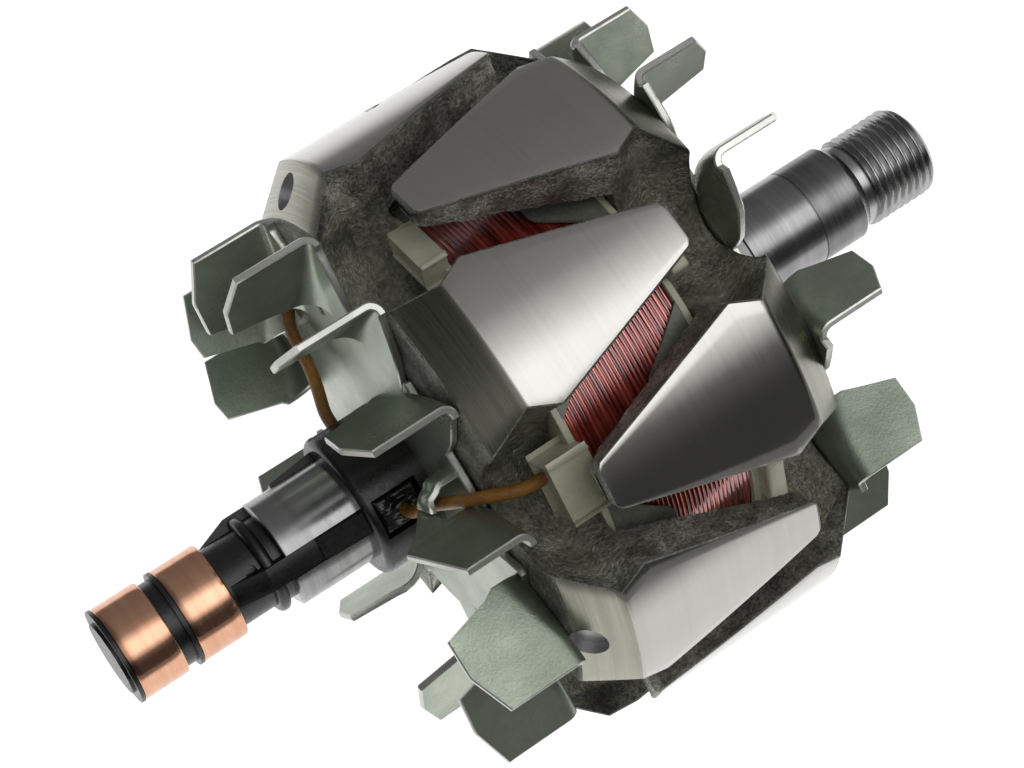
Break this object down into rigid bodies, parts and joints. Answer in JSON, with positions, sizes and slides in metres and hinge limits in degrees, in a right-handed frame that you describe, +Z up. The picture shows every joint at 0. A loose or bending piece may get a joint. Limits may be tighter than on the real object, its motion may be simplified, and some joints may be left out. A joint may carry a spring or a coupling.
{
  "type": "alternator rotor",
  "caption": "Claw-pole alternator rotor: two interlocked iron poles around a field coil, with pressed fans, slip rings and a threaded shaft.",
  "frame": {"origin": "on the shaft's axis, at the middle of the drive-end bearing seat", "axes": "+X along the shaft towards the threaded drive end, +Z up as the rotor lies on its claws"},
  "size_m": [0.1573, 0.1034, 0.1034],
  "materials": {
    "steel_shaft": "ground and turned, bright",
    "pole_iron": "forged dark, turned bright on the outside",
    "core_iron": "turned, plain",
    "bobbin_nylon": "cream moulding, satin",
    "winding_copper": "red-brown enamel, glossy",
    "fan_steel": "greenish zinc plate, satin",
    "spacer_steel": "turned, satin",
    "carrier_moulding": "black moulding, satin",
    "ring_copper": "turned copper, bright",
    "strip_copper": "rolled copper",
    "resin": "black resin, glossy",
    "lead_enamel": "enamelled copper",
    "sleeve_amber": "amber varnished weave"
  },
  "bodies": {
    "root": {"shaft": "steel_shaft", "pole_core": "core_iron", "rear_claw_pole": "pole_iron", "front_claw_pole": "pole_iron", "coil_bobbin": "bobbin_nylon", "field_winding": "winding_copper", "rear_fan": "fan_steel", "front_fan": "fan_steel", "drive_end_spacer": "spacer_steel", "slip_ring_carrier": "carrier_moulding", "outer_slip_ring": "ring_copper", "inner_slip_ring": "ring_copper", "outer_ring_conductor": "strip_copper", "inner_ring_conductor": "strip_copper", "resin_bead_1": "resin", "resin_bead_2": "resin", "lead_wire_1": "lead_enamel", "lead_wire_2": "lead_enamel", "lead_sleeve_1": "sleeve_amber", "lead_sleeve_2": "sleeve_amber"}
  },
  "joints": []
}
